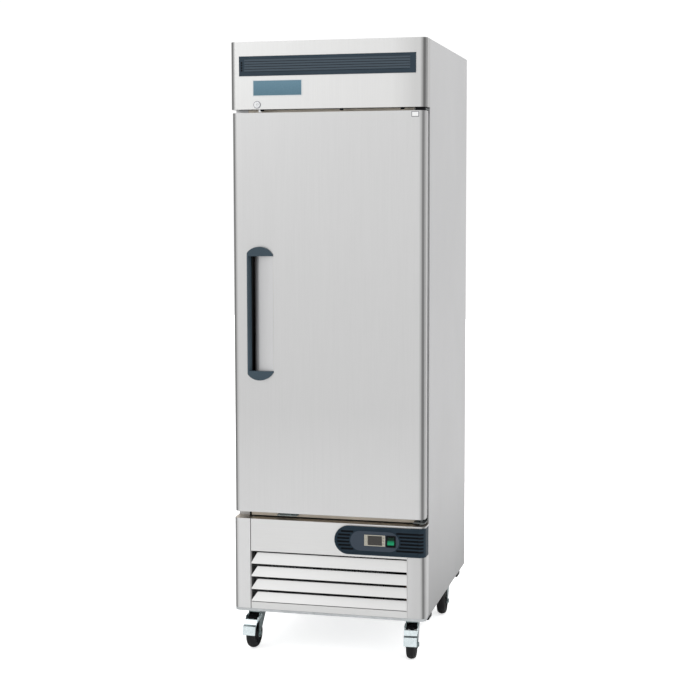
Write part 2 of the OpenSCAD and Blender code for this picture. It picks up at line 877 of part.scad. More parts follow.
// ---------------------------------------------------------------- casters
module caster_plates() {
    color("#a8b4b4")
    for (c = casters)
        translate([c[0], yd(c[1]), 0])
            difference() {
                union() {
                    translate([-46, -35, 141])
                        cube([92, 70, 2.8]);
                    translate([0, 0, 134])
                        cylinder(r = 27, h = 7.2, $fn = 64);
                    translate([0, 0, 119])
                        cylinder(r = 6, h = 16, $fn = 48);
                    translate([0, 0, 119])
                        cylinder(r = 10, h = 4, $fn = 48);
                }
                for (i = [-1, 1])
                    for (j = [-1, 1])
                        translate([i * 34, j * 24, 138])
                            cylinder(r = 4.3, h = 8, $fn = 32);
            }
}

module caster_bolt() {
    translate([0, 0, 136])
        cylinder(r = 6, h = 4.8, $fn = 6);
    translate([0, 0, 136])
        cylinder(r = 3.8, h = 17, $fn = 32);
    translate([0, 0, 146.2])
        cylinder(r = 6, h = 5, $fn = 6);
}

module screws() {
    color("#9da2a5")
    union() {
        for (c = casters)
            for (i = [-1, 1])
                for (j = [-1, 1])
                    translate([c[0] + i * 34, yd(c[1] + j * 24), 0])
                        caster_bolt();
        for (x = [-300, 0, 300])
            for (z = [170, 455])
                rod_y(2.3, x, body_d - 9, body_d - 0.1, z, 32);
        for (x = [304, 328]) {
            rod_y(5, x, 57, 60.2, 1905, 32);
            rod_y(5, x, 57, 60.2, 492, 32);
        }
    }
}

// Caster parts are drawn pointing forward about their swivel axis, then turned
module at_caster(i) {
    c = casters[i];
    translate([c[0], yd(c[1]), 0])
        rotate([0, 0, c[2]])
            children();
}

// Profile in (forward, up) drawn as a plate across the caster from u0 to u1
module cross_plate(u0, u1) {
    translate([u0, 0, 0])
        rotate([90, 0, 90])
            linear_extrude(height = u1 - u0)
                mirror([1, 0])
                    children();
}

module fork(brake) {
    off = wheel_off;
    difference() {
        union() {
            translate([0, 0, 124.4])
                cylinder(r = 25, h = 9.2, $fn = 64);
            for (s = [0, 1])
                mirror([s, 0, 0])
                    cross_plate(19, 21.5)
                        union() {
                            polygon([[-25, 128], [34, 128], [40, 119], [42, 104], [50, 56], [32, 44], [22,
                                60],
                                [-20, 110], [-25, 118]]);
                            translate([off, wheel_r])
                                circle(r = 13, $fn = 48);
                        }
                translate([-21.5, -34, 125])
                cube([43, 58, 3]);
            cross_plate(-24.5, 24.5)
                translate([off, wheel_r])
                    circle(r = 5, $fn = 32);
            for (s = [0, 1])
                mirror([s, 0, 0])
                    cross_plate(21.4, 25.5)
                        translate([off, wheel_r])
                            circle(r = 8.5, $fn = 6);
        }
        translate([0, 0, 120])
            cylinder(r = 6.05, h = 20, $fn = 48);
        if (brake)
            cross_plate(-30, 30)
                translate([30, 113])
                    circle(r = 3.05, $fn = 32);
    }
}

module wheel() {
    h = wheel_w / 2;
    r = wheel_r;
    translate([0, -wheel_off, r])
        rotate([0, 90, 0])
            rotate_extrude($fn = 96)
                polygon([[5.05, -18.6], [13, -18.6], [14, -12], [34, -10], [36, -h], [r - 9, -h], [r - 4.6,
                    -h + 3],
                    [r - 1.5, -h + 7.6], [r, -h + 13], [r, h - 13], [r - 1.5, h - 7.6], [r - 4.6, h - 3],
                    [r - 9, h], [36, h], [34, 10], [14, 12], [13, 18.6], [5.05, 18.6]]);
}

module pedal() {
    union() {
        cross_plate(-23, 23)
            polygon([[60, 104], [68, 104], [78, 88], [87, 84], [94, 57], [97, 57.6], [90, 87], [80.5, 91],
                [70, 107], [60, 107]]);
        for (s = [0, 1])
            mirror([s, 0, 0])
                cross_plate(22.2, 24.2)
                    union() {
                        polygon([[25, 118], [45, 119], [62, 114], [72, 97], [58, 100], [32, 106], [25, 108]]);
                        translate([30, 113])
                            circle(r = 7, $fn = 32);
                    }
        cross_plate(-24, 24)
            translate([30, 113])
                circle(r = 3, $fn = 32);
    }
}

module fork_fl() { color("#a9b8b8") at_caster(0) fork(true); }
module fork_fr() { color("#a9b8b8") at_caster(1) fork(true); }
module fork_rl() { color("#a9b8b8") at_caster(2) fork(false); }
module fork_rr() { color("#a9b8b8") at_caster(3) fork(false); }
module wheel_fl() { color("#191a1b") at_caster(0) wheel(); }
module wheel_fr() { color("#191a1b") at_caster(1) wheel(); }
module wheel_rl() { color("#191a1b") at_caster(2) wheel(); }
module wheel_rr() { color("#191a1b") at_caster(3) wheel(); }
module pedal_fl() { color("#cfe0e2") at_caster(0) pedal(); }
module pedal_fr() { color("#cfe0e2") at_caster(1) pedal(); }

// ---------------------------------------------------------------- door
module door_skin() {
    color("#cdcece")
    union() {
        difference() {
            front_prism(dhw, 0, door_t - 3, corner_r, door_z0, door_z1);
            front_prism(dhw - sheet_t, sheet_t, door_t + 5, corner_r - sheet_t, door_z0 + sheet_t,
                door_z1 - sheet_t);
            bx(handle_x0 - 0.4, handle_x1 + 0.1, -2, 4, handle_z0 - 3.4, handle_z1 + 3.4);
            bx(lock_x - 6.5, lock_x + 6.5, 29.5, 38.5, door_z1 - 5, door_z1 + 5);
            rod_z(hinge_r + 0.05, hinge_x, hinge_d, door_z1 - 5, door_z1 + 5);
            rod_z(hinge_r + 0.05, hinge_x, hinge_d, door_z0 - 5, door_z0 + 5);
        }
        for (z = [door_z0 + 1, door_z1 - 17])
            translate([hinge_x, yd(hinge_d), z])
                difference() {
                    cylinder(r = 9, h = 16, $fn = 48);
                    translate([0, 0, -1])
                        cylinder(r = hinge_r + 0.05, h = 18, $fn = 48);
                }
    }
}

module door_liner() {
    color("#d6d7d6")
    difference() {
        union() {
            bx(-dhw + 0.6, dhw - 0.6, door_t - 2.8, door_t, door_z0 + 0.6, door_z1 - 0.6);
            bx(-262, 262, door_t - 1, 60, 552, 1823);
        }
        bx(-260.4, 260.4, door_t - 10, 58.4, 553.6, 1821.4);
    }
}

module door_foam() {
    x0 = handle_x0 - 2;
    x1 = handle_x1 + 2;
    z0 = handle_z0 - 6;
    z1 = handle_z1 + 6;
    f = 1.6;
    b = door_t - 3.2;
    color("#d8c98a") {
        difference() {
            intersection() {
                front_prism(dhw - f, f, b, corner_r - f, door_z0 + f, door_z1 - f);
                union() {
                    bx(-dhw, x0, 0, 60, z0, z1);
                    bx(x0 + 0.4, x1 - 0.4, scoop_d + 2, 60, z0, z1);
                    bx(x1, dhw, 0, 60, z0, z1);
                    bx(-dhw, dhw, 0, 60, z1 + 0.4, door_z1);
                    bx(-dhw, dhw, 0, 60, door_z0, z0 - 0.4);
                }
            }
            bx(lock_x - 8, lock_x + 8, 28, 40, door_z1 - 13, door_z1 + 5);
            for (z = [door_z0 - 1, door_z1 - 18])
                rod_z(9.6, hinge_x, hinge_d, z, z + 19);
        }
        bx(-260, 260, door_t - 2.8, 58, 554, 1821);
    }
}

module gasket_ring(w0, w1, d0, d1) {
    difference() {
        bx(-gasket_hw + w0, gasket_hw - w0, d0, d1, 503 + w0, 1866 - w0);
        bx(-gasket_hw + w1, gasket_hw - w1, d0 - 1, d1 + 1, 503 + w1, 1866 - w1);
    }
}

module door_gasket() {
    color("#c9bfae")
    union() {
        gasket_ring(0, 18, door_t + 0.1, door_t + 3);
        gasket_ring(6, 12, door_t + 2.9, door_t + 9);
        gasket_ring(2, 15, door_t + 8.9, frame_d - 0.6);
    }
}

module scoop_line(k) {
    polygon([[handle_x1 - (k ? 1.6 : 0), yd(k ? -3 : -0.05)], [handle_x1 - (k ? 1.6 : 0), yd(0)],
        [-218, yd(k ? 2.6 : 3.8)], [-243, yd(k ? 6 : 7.4)], [-255.5, yd(k ? 12 : 13.8)],
        [-262.5 - (k ? 0.6 : -1), yd(scoop_d - 9)], [-268 + (k ? 0 : 1), yd(scoop_d - (k ? 1.2 : 0))],
        [handle_x0 + (k ? 1.2 : 0), yd(scoop_d - (k ? 1.2 : 0))], [handle_x0 + (k ? 1.2 : 0),
            yd(k ? -3 : -0.05)]]);
}

module handle_cup() {
    color("#bfc0c0")
    difference() {
        translate([0, 0, handle_z0 - 3])
            linear_extrude(height = handle_z1 - handle_z0 + 6)
                scoop_line(false);
        translate([0, 0, handle_z0 - 1.8])
            linear_extrude(height = handle_z1 - handle_z0 + 3.6)
                scoop_line(true);
    }
}

module handle_end(flip) {
    cap_r = 52.7;
    peak = 32;
    cx = (handle_x0 + handle_x1) / 2;
    intersection() {
        face_prism(-handle_proud, -0.3)
            intersection() {
                translate([cx, flip * (peak - cap_r)])
                    circle(r = cap_r, $fn = 96);
                translate([handle_x0, flip > 0 ? 0 : -60])
                    square([handle_x1 - handle_x0, 60]);
            }
        translate([0, 0, -100])
            linear_extrude(height = 200)
                polygon([[handle_x0, yd(-0.1)], [handle_x0 + 3, yd(-14)], [handle_x0 + 5.5,
                    yd(-handle_proud)],
                    [-262, yd(-handle_proud)], [-225, yd(-13)], [-198, yd(-7)], [handle_x1, yd(-3)],
                    [handle_x1, yd(-0.1)]]);
    }
}

module handle_grip() {
    color("#4b5963")
    union() {
        translate([0, 0, handle_z0 - 1])
            linear_extrude(height = handle_z1 - handle_z0 + 2)
                polygon([[handle_x0, yd(-0.3)], [handle_x0 + 3, yd(-14)], [handle_x0 + 5.5,
                    yd(-handle_proud)],
                    [handle_x0 + bar_w - 4, yd(-handle_proud)], [handle_x0 + bar_w - 1.5, yd(-13)],
                    [handle_x0 + bar_w, yd(0)], [handle_x0 + bar_w, yd(8)], [handle_x0 + 1.6, yd(8)],
                    [handle_x0 + 1.6, yd(-0.3)]]);
        translate([0, 0, handle_z1])
            handle_end(1);
        translate([0, 0, handle_z0])
            handle_end(-1);
    }
}

module door_tag() {
    color("#eceded")
    bx(289.6, 320 - 5, -1.4, -0.1, 1850, 1868);
}

side_panels();
front_frame();
back_deck_sheet();
top_panel();
cabinet_foam();
inner_liner();
breaker_frame();
top_fascia();
vent_grille();
badge_plate();
lock_barrel();
hinge_brackets();
base_frame();
lower_posts();
louver_panel();
control_housing();
controller();
display_window();
switch_frame();
compressor();
condenser_coil();
fan_shroud();
refrigerant_tubes();
condensate_pan();
evaporator_cover();
evaporator_coil();
lamp();
pilasters();
shelf_clips();
caster_plates();
screws();
rear_vent_cover();
door_skin();
door_liner();
door_foam();
door_gasket();
handle_grip();
handle_cup();
door_tag();
lock_plug();
lock_bolt();
rocker();
key_1();
key_2();
key_3();
shelf_1();
shelf_2();
shelf_3();
condenser_fan();
evaporator_fan();
fork_fl();
fork_fr();
fork_rl();
fork_rr();
wheel_fl();
wheel_fr();
wheel_rl();
wheel_rr();
pedal_fl();
pedal_fr();
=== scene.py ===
import json
import math

import bmesh
import bpy
from mathutils import Matrix, Vector


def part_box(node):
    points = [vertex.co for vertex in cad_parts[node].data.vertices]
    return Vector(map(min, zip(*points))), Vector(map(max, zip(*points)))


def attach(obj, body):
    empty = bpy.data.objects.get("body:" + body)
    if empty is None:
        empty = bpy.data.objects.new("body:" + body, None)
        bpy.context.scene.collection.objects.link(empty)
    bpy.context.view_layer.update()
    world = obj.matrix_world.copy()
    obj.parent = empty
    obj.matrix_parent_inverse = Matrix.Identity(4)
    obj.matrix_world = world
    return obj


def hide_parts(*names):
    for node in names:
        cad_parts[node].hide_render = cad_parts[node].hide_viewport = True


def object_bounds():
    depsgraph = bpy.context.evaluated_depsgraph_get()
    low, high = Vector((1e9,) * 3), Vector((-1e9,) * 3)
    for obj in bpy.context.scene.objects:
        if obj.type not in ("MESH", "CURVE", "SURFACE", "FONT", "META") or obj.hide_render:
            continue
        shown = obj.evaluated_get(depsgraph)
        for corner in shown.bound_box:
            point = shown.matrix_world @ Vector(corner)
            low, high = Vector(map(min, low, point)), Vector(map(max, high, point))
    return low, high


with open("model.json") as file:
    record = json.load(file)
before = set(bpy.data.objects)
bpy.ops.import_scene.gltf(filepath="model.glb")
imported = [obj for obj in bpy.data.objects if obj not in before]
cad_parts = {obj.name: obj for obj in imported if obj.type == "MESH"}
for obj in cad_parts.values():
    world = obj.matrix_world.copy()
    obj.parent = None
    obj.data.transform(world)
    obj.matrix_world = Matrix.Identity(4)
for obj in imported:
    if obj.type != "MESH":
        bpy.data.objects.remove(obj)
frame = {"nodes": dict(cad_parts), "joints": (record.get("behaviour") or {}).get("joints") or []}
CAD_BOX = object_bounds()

N = frame["nodes"]
JOINTS = {j["name"]: j for j in frame["joints"]}
LO, HI = CAD_BOX
DOOR_LO, DOOR_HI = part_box("door_skin")
CASTERS = ("fl", "fr", "rl", "rr")
BRAKED = ("fl", "fr")
scene = bpy.context.scene


def depth(mm):
    """The Y of a plane this many mm behind the door's face."""
    return DOOR_LO.y + mm / 1000


# ------------------------------------------------------------------ node helpers
class Mat:
    """A node material: builds textures in object space, so that they stay put on a moving piece."""

    def __init__(self, name, **consts):
        self.mat = bpy.data.materials.new(name)
        self.mat.use_nodes = True
        self.nt = self.mat.node_tree
        self.bsdf = self.nt.nodes["Principled BSDF"]
        for key, value in consts.items():
            self.bsdf.inputs[key.replace("_", " ")].default_value = value
        tc = self.nt.nodes.new("ShaderNodeTexCoord")
        self.co = tc.outputs["Object"]
        self.nrm = tc.outputs["Normal"]

    def add(self, kind, **props):
        n = self.nt.nodes.new(kind)
        for k, v in props.items():
            setattr(n, k, v)
        return n

    def link(self, a, b):
        self.nt.links.new(a, b)

    def xyz(self, vec=None):
        s = self.add("ShaderNodeSeparateXYZ")
        self.link(vec or self.co, s.inputs["Vector"])
        return s.outputs

    def mapped(self, scale):
        m = self.add("ShaderNodeMapping")
        m.inputs["Scale"].default_value = scale
        self.link(self.co, m.inputs["Vector"])
        return m.outputs["Vector"]

    def noise(self, scale, detail=3.0, rough=0.5):
        n = self.add("ShaderNodeTexNoise")
        n.inputs["Scale"].default_value = 1.0
        n.inputs["Detail"].default_value = detail
        n.inputs["Roughness"].default_value = rough
        self.link(self.mapped(scale), n.inputs["Vector"])
        return n.outputs["Fac"]

    def voronoi(self, scale, feature="F1", out="Distance", randomness=1.0):
        n = self.add("ShaderNodeTexVoronoi", feature=feature)
        n.inputs["Scale"].default_value = 1.0
        n.inputs["Randomness"].default_value = randomness
        self.link(self.mapped(scale), n.inputs["Vector"])
        return n.outputs[out]

    def ramp(self, fac, stops):
        n = self.add("ShaderNodeValToRGB")
        el = n.color_ramp.elements
        while len(el) < len(stops):
            el.new(0.5)
        for e, (pos, col) in zip(el, stops):
            e.position = pos
            if isinstance(col, (int, float)):
                col = (col, col, col)
            e.color = col if len(col) == 4 else (*col, 1)
        self.link(fac, n.inputs["Fac"])
        return n.outputs["Color"]

    def spread(self, fac, lo, hi, a=0.0, b=1.0):
        """Maps a..b to lo..hi and stays inside them."""
        n = self.add("ShaderNodeMapRange")
        n.inputs["From Min"].default_value = a
        n.inputs["From Max"].default_value = b
        n.inputs["To Min"].default_value = lo
        n.inputs["To Max"].default_value = hi
        self.link(fac, n.inputs["Value"])
        return n.outputs["Result"]

    def math(self, op, a, b=0.0):
        n = self.add("ShaderNodeMath", operation=op)
        for sock, v in zip(n.inputs, (a, b)):
            if isinstance(v, (int, float)):
                sock.default_value = v
            else:
                self.link(v, sock)
        return n.outputs["Value"]

    def distance(self, value, middle):
        return self.math("ABSOLUTE", self.math("SUBTRACT", value, middle))

    def radius(self, a, b):
        return self.math("SQRT", self.math("ADD", self.math("MULTIPLY", a, a), self.math("MULTIPLY", b, b)))

    def blend(self, fac, a, b, mode="MIX"):
        n = self.add("ShaderNodeMix", data_type="RGBA", blend_type=mode)
        for sock, v in zip((n.inputs[0], n.inputs[6], n.inputs[7]), (fac, a, b)):
            if isinstance(v, (int, float)):
                sock.default_value = v
            elif isinstance(v, tuple):
                sock.default_value = v if len(v) == 4 else (*v, 1)
            else:
                self.link(v, sock)
        return n.outputs[2]

    def color(self, out):
        self.link(out, self.bsdf.inputs["Base Color"])

    def rough(self, out):
        self.link(out, self.bsdf.inputs["Roughness"])

    def bump(self, height, strength=0.2, distance=0.0005, after=None):
        n = self.add("ShaderNodeBump")
        n.inputs["Strength"].default_value = strength
        n.inputs["Distance"].default_value = distance
        self.link(height, n.inputs["Height"])
        if after is not None:
            self.link(after, n.inputs["Normal"])
        self.link(n.outputs["Normal"], self.bsdf.inputs["Normal"])
        return n.outputs["Normal"]


def shade(col, k):
    """The colour made lighter or darker by a factor."""
    return tuple(min(1.0, c * k) for c in col[:3]) + (1,)


def painted_edge_shade(*factors):
    """A mask of painted shade for the rounded vertical edges of bent sheet: the bend is painted darker as a
    painted dark reflection, then painted lighter again as a painted highlight.
    """
    at = (0.0, 0.22, 0.42, 0.52, 0.76, 0.85, 0.94, 0.985, 1.0)

    def run(m, base):
        nx = m.math("ABSOLUTE", m.xyz(m.nrm)["X"])
        return m.blend(1.0, base, m.ramp(nx, list(zip(at, factors))), "MULTIPLY")
    return run


def painted_top_reflection(col):
    """A mask for faces that look up: a brownish painted reflection of what they mirror."""
    def run(m, base):
        return m.blend(m.spread(m.xyz(m.nrm)["Z"], 0.0, 1.0, 0.85, 0.97), base, col)
    return run


def painted_right_shade(m, base):
    """Painted shade: the front's right end is painted a little darker."""
    return m.blend(1.0, base, m.spread(m.xyz()["X"], 1.0, 0.84, 0.225, 0.305), "MULTIPLY")


def painted_height_shade(*stops):
    """A mask of painted shade that changes a sheet's brightness slowly from foot to head; stops are (height
    in m, factor).
    """
    def run(m, base):
        z = m.spread(m.xyz()["Z"], 0.0, 1.0, 0.0, HI.z)
        return m.blend(1.0, base, m.ramp(z, [(h / HI.z, k) for h, k in stops]), "MULTIPLY")
    return run


def brushed(name, col, rough, grain=(900, 900, 5), masks=(), metal=1.0):
    """Brushed sheet: long fine scratches, faint smudges and a very slow waviness."""
    m = Mat(name, Metallic=metal)
    fine = m.noise(grain, 2.0, 0.6)
    long = m.noise(tuple(g * 0.28 for g in grain), 1.5, 0.5)
    smudge = m.noise((2.3, 2.3, 1.7), 4.0, 0.55)
    base = m.ramp(fine, [(0.25, shade(col, 0.97)), (0.75, shade(col, 1.03))])
    base = m.blend(m.spread(smudge, 0.0, 0.22, 0.35, 0.75), base, shade(col, 0.93))
    for mask in masks:
        base = mask(m, base)
    m.color(base)
    scratched = m.spread(fine, rough - 0.06, rough + 0.06, 0.25, 0.75)
    m.rough(m.math("ADD", scratched, m.spread(smudge, -0.03, 0.05, 0.3, 0.7)))
    slow = m.bump(m.noise((1.6, 1.6, 1.1), 1.0, 0.4), 0.06, 0.004)
    m.bump(long, 0.05, 0.0003, after=slow)
    return m.mat


def plastic(name, col, rough, grain=1400, grain_m=0.00012, fade=0.12, spec=0.25, scuffs=0.1, masks=()):
    """Moulded plastic with a fine pebble grain, slight colour drift and light scuffs."""
    m = Mat(name)
    m.bsdf.inputs["Specular IOR Level"].default_value = spec
    pebble = m.voronoi((grain, grain, grain), "SMOOTH_F1")
    drift = m.noise((9, 9, 7), 3.0, 0.55)
    base = m.ramp(drift, [(0.3, shade(col, 1 - fade)), (0.72, shade(col, 1 + fade))])
    scuff = m.noise((60, 60, 420), 4.0, 0.7)
    base = m.blend(m.spread(scuff, 0.0, scuffs, 0.62, 0.8), base, shade(col, 1.7))
    for mask in masks:
        base = mask(m, base)
    m.color(base)
    m.rough(m.spread(drift, rough - 0.05, rough + 0.07, 0.3, 0.7))
    m.bump(pebble, 0.35, grain_m)
    return m.mat


def steel_plate(name, col, rough, cell, contrast, masks=()):
    """Zinc coated or plated steel: crystal patches and cloudy stains."""
    m = Mat(name, Metallic=1.0)
    grey = m.add("ShaderNodeRGBToBW")
    m.link(m.voronoi((cell, cell, cell), "F1", "Color"), grey.inputs["Color"])
    cloud = m.noise((14, 14, 14), 4.0, 0.6)
    mix = m.math("ADD", m.math("MULTIPLY", grey.outputs["Val"], 0.55), m.math("MULTIPLY", cloud, 0.6))
    tones = ((0.25, 1 - contrast), (0.6, 1.0), (0.9, 1 + contrast))
    base = m.ramp(mix, [(at, shade(col, k)) for at, k in tones])
    for mask in masks:
        base = mask(m, base)
    m.color(base)
    m.rough(m.spread(mix, rough - 0.08, rough + 0.1, 0.2, 0.9))
    m.bump(cloud, 0.08, 0.0004)
    return m.mat


# ------------------------------------------------------------------ masks that follow the shape
# Painted shade: a near-black colour painted into the slots of the vent and the control housing.
PAINTED_SLOT_SHADE = (0.002, 0.003, 0.005)


def vent_painted_light(m, base):
    """Painted light: the proud ribs are painted lighter as a painted highlight, the field behind them keeps
    the dark plastic colour, and the slots are painted nearly black as painted shade.
    """
    y = m.xyz()["Y"]
    base = m.blend(m.spread(y, 1.0, 0.0, depth(-3.1), depth(-2.7)), base, (0.060, 0.080, 0.100))
    return m.blend(m.spread(y, 0.0, 1.0, depth(-2.2), depth(-1.3)), base, PAINTED_SLOT_SHADE)


def housing_pad_and_slot_shade(m, base):
    """A lighter oval pad, painted shade in the slots, and the slots' ends on the rounded right corner painted
    as black stripes of painted shade.
    """
    pad_x, pad_half, slot_end, slot_pitch = 0.1655, 0.051, 0.3165, 0.012
    lo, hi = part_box("control_housing")
    p = m.xyz()
    dz = m.math("SUBTRACT", p["Z"], (lo.z + hi.z) / 2)
    dx = m.math("MAXIMUM", m.math("SUBTRACT", m.distance(p["X"], pad_x), pad_half), 0.0)
    inside = m.spread(m.radius(dx, dz), 1.0, 0.0, 0.0338, 0.0346)
    proud = m.spread(p["Y"], 1.0, 0.0, depth(-6.5), depth(-5.6))
    base = m.blend(m.math("MULTIPLY", inside, proud), base, (0.046, 0.060, 0.080))

    # Painted shade: the sunk slot floors are painted black.
    sunk = m.spread(p["Y"], 0.0, 1.0, depth(-4.4), depth(-3.6))
    front = m.spread(p["X"], 1.0, 0.0, slot_end - 0.0003, slot_end + 0.0003)
    base = m.blend(m.math("MULTIPLY", sunk, front), base, PAINTED_SLOT_SHADE)

    # Painted shade: black stripes painted on the rounded corner where the slots run out.
    in_row = m.distance(m.math("FRACT", m.math("DIVIDE", dz, slot_pitch)), 0.5)
    rows = m.spread(in_row, 1.0, 0.0, 0.27, 0.295)
    height = m.spread(m.math("ABSOLUTE", dz), 1.0, 0.0, 0.0355, 0.0365)
    after = m.spread(p["X"], 0.0, 1.0, slot_end - 0.0015, slot_end - 0.0007)
    before = m.spread(p["X"], 1.0, 0.0, slot_end + 0.0165, slot_end + 0.0185)
    corner = m.math("MULTIPLY", after, before)
    return m.blend(m.math("MULTIPLY", corner, m.math("MULTIPLY", rows, height)), base, PAINTED_SLOT_SHADE)


def cup_painted_shade(m, base):
    """Painted shade in the finger recess: black behind the grip, then paling out to the door face."""
    stops = [(0.0, 0.004), (0.17, 0.004), (0.20, 0.28), (0.24, 0.62), (0.306, 0.80), (0.5, 0.90), (1.0, 0.98)]
    x = m.spread(m.xyz()["X"], 0.0, 1.0, -0.284, -0.191)
    return m.blend(1.0, base, m.ramp(x, stops), "MULTIPLY")


def ring_painted_shade(m, base):
    """Painted shade: a dark outer bevel painted round the lock's bright face."""
    lo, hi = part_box("lock_barrel")
    p = m.xyz()
    dx = m.math("SUBTRACT", p["X"], (lo.x + hi.x) / 2)
    dz = m.math("SUBTRACT", p["Z"], (lo.z + hi.z) / 2)
    return m.blend(m.spread(m.radius(dx, dz), 0.0, 1.0, 0.0104, 0.0111), base, (0.22, 0.22, 0.25))


def rim_mask(node, width, col):
    """A mask for a thin coloured rim round a small plate."""
    lo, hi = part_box(node)

    def run(m, base):
        p = m.xyz()
        ex = m.math("SUBTRACT", (hi.x - lo.x) / 2, m.distance(p["X"], (lo.x + hi.x) / 2))
        ez = m.math("SUBTRACT", (hi.z - lo.z) / 2, m.distance(p["Z"], (lo.z + hi.z) / 2))
        edge = m.math("MINIMUM", ex, ez)
        return m.blend(m.spread(edge, 1.0, 0.0, width * 0.9, width), base, col)
    return run


# ------------------------------------------------------------------ materials
# Painted shade: the door and side sheets are painted darker and lighter by height.
DOOR_PAINTED_SHADE = painted_height_shade((0.48, 1.0), (0.62, 0.975), (0.85, 0.925), (1.1, 0.95), (1.5, 0.985), (1.87, 1.0))
SIDE_PAINTED_SHADE = painted_height_shade((0.14, 0.62), (0.3, 0.77), (0.55, 0.93), (1.1, 0.97), (2.11, 1.0))
# Painted shade and painted highlights on the rounded edges of the post, door and fascia.
POST_PAINTED_EDGE_SHADE = painted_edge_shade(1.0, 0.92, 0.70, 0.38, 0.32, 0.72, 0.86, 0.60, 1.0)
DOOR_PAINTED_EDGE_SHADE = painted_edge_shade(1.0, 0.84, 0.61, 0.32, 0.27, 0.61, 0.73, 0.51, 0.9)
FASCIA_PAINTED_EDGE_SHADE = painted_edge_shade(1.0, 0.76, 0.52, 0.24, 0.205, 0.44, 0.53, 0.29, 0.8)
# Painted reflection: the upward faces of the louver and post are painted brownish.
TOP_PAINTED_REFLECTION = painted_top_reflection((0.55, 0.49, 0.42))
# The fascia and post also carry painted shade at their right end.
STEEL_FASCIA = brushed("steel_fascia", (0.735, 0.735, 0.73), 0.36, masks=(FASCIA_PAINTED_EDGE_SHADE, painted_right_shade))
STEEL_DOOR = brushed("steel_door", (0.65, 0.65, 0.65), 0.36, masks=(DOOR_PAINTED_SHADE, DOOR_PAINTED_EDGE_SHADE))
STEEL_SIDE = brushed("steel_side", (0.58, 0.58, 0.585), 0.42, masks=(SIDE_PAINTED_SHADE,))
STEEL_LOUVER = brushed("steel_louver", (0.70, 0.70, 0.695), 0.38, grain=(6, 900, 900), masks=(TOP_PAINTED_REFLECTION,))
STEEL_POST = brushed("steel_post", (0.70, 0.70, 0.70), 0.38, masks=(POST_PAINTED_EDGE_SHADE, painted_right_shade, TOP_PAINTED_REFLECTION))
STEEL_SCOOP = brushed("steel_scoop", (0.62, 0.62, 0.625), 0.36, masks=(cup_painted_shade,), metal=0.65)
STEEL_FRAME = brushed("steel_frame", (0.90, 0.83, 0.72), 0.5)
LINER = steel_plate("liner_metal", (0.72, 0.73, 0.74), 0.40, 900.0, 0.05)
GALV = steel_plate("galvanised", (0.52, 0.54, 0.55), 0.42, 60.0, 0.14)
ZINC = steel_plate("zinc_plate", (0.30, 0.36, 0.365), 0.27, 160.0, 0.30)
ZINC_BRIGHT = steel_plate("zinc_bright", (0.74, 0.82, 0.84), 0.24, 120.0, 0.10)
COIL = steel_plate("coil_metal", (0.42, 0.44, 0.45), 0.45, 120.0, 0.12)
COPPER = steel_plate("copper_tube", (0.30, 0.155, 0.09), 0.36, 90.0, 0.16)
CHROME = steel_plate("chrome_wire", (0.70, 0.71, 0.72), 0.14, 200.0, 0.04)
LOCK = steel_plate("lock_metal", (0.80, 0.81, 0.82), 0.2, 400.0, 0.08)
LOCK_RING = steel_plate("lock_ring", (0.80, 0.81, 0.82), 0.2, 400.0, 0.08, masks=(ring_painted_shade,))
BLACK_PAINT = plastic("black_paint", (0.010, 0.012, 0.014), 0.32, 700, 0.0001, 0.2)
HOUSING = plastic("control_plastic", (0.016, 0.029, 0.042), 0.46, spec=0.1, masks=(housing_pad_and_slot_shade,))
VENT_PLASTIC = plastic("vent_plastic", (0.030, 0.046, 0.062), 0.46, spec=0.12, masks=(vent_painted_light,))
HANDLE_PLASTIC = plastic("handle_plastic", (0.042, 0.066, 0.086), 0.42)
BREAKER = plastic("breaker_plastic", (0.50, 0.44, 0.37), 0.5, 900, spec=0.4)
SILL = plastic("sill_plastic", (0.75, 0.68, 0.58), 0.5, 900, spec=0.4)
BEZEL = plastic("bezel_plastic", (0.42, 0.40, 0.34), 0.45, 1200, 0.00008, 0.05, spec=0.4)
BLACK_GLOSS = plastic("switch_black", (0.003, 0.0035, 0.004), 0.3, 900, 0.00005, 0.2, spec=0.08)
TAG = plastic("tag_white", (0.82, 0.82, 0.82), 0.35, 600, 0.00004, 0.03, scuffs=0.0,
              masks=(rim_mask("door_tag", 0.0022, (0.20, 0.20, 0.22)),))
RUBBER = plastic("wheel_rubber", (0.010, 0.010, 0.011), 0.55, 500, 0.0002, 0.3)
HUB = plastic("hub_plastic", (0.020, 0.020, 0.022), 0.42, 700, 0.0001, 0.2)
MOULD = plastic("black_mould", (0.004, 0.004, 0.005), 0.5, 900, 0.0001, 0.2, spec=0.1)
HINGE = steel_plate("hinge_zinc", (0.13, 0.14, 0.14), 0.35, 160.0, 0.3)
GASKET = plastic("gasket_vinyl", (0.60, 0.58, 0.54), 0.5, 800, 0.0001, 0.06)
FOAM = plastic("foam_core", (0.72, 0.60, 0.30), 0.9, 420, 0.0005, 0.1)
PAN = plastic("pan_plastic", (0.03, 0.032, 0.035), 0.45)
MARK = plastic("mark_ink", (0.035, 0.034, 0.032), 0.5, 900, 0.00003, 0.1)


def window_mat():
    """Dark glossy window with a faint dot grid."""
    m = Mat("display_window", Roughness=0.16)
    m.bsdf.inputs["Coat Weight"].default_value = 0.3
    m.bsdf.inputs["Specular IOR Level"].default_value = 0.3
    dots = m.voronoi((420, 420, 420), "F1", "Distance", 0.0)
    m.color(m.ramp(dots, [(0.25, (0.055, 0.050, 0.042)), (0.6, (0.018, 0.016, 0.014))]))
    m.bump(dots, 0.1, 0.0001)
    return m.mat


